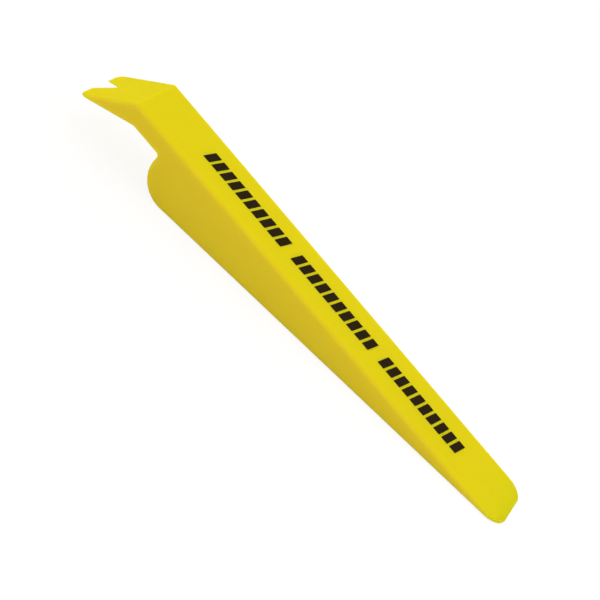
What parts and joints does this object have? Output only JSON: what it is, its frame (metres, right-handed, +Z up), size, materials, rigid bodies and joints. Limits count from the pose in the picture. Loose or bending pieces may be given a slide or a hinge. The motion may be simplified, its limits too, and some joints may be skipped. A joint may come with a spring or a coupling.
{
  "type": "pry wedge",
  "caption": "One-piece moulded plastic pry wedge: a long taper with a round heel and thin blade, and a bent head with a V-notched fork, for lifting trim and spreading panels.",
  "frame": {"origin": "on the flat underside, under the middle of the overall length and width", "axes": "+X along the tool from the forked head to the thin blade, +Y across the width, +Z up from the flat underside to the sloping top face"},
  "size_m": [0.2292, 0.0318, 0.0274],
  "materials": {
    "yellow_plastic": "satin",
    "black_print": "matte"
  },
  "bodies": {
    "root": {"pry_wedge": "yellow_plastic"}
  },
  "joints": []
}
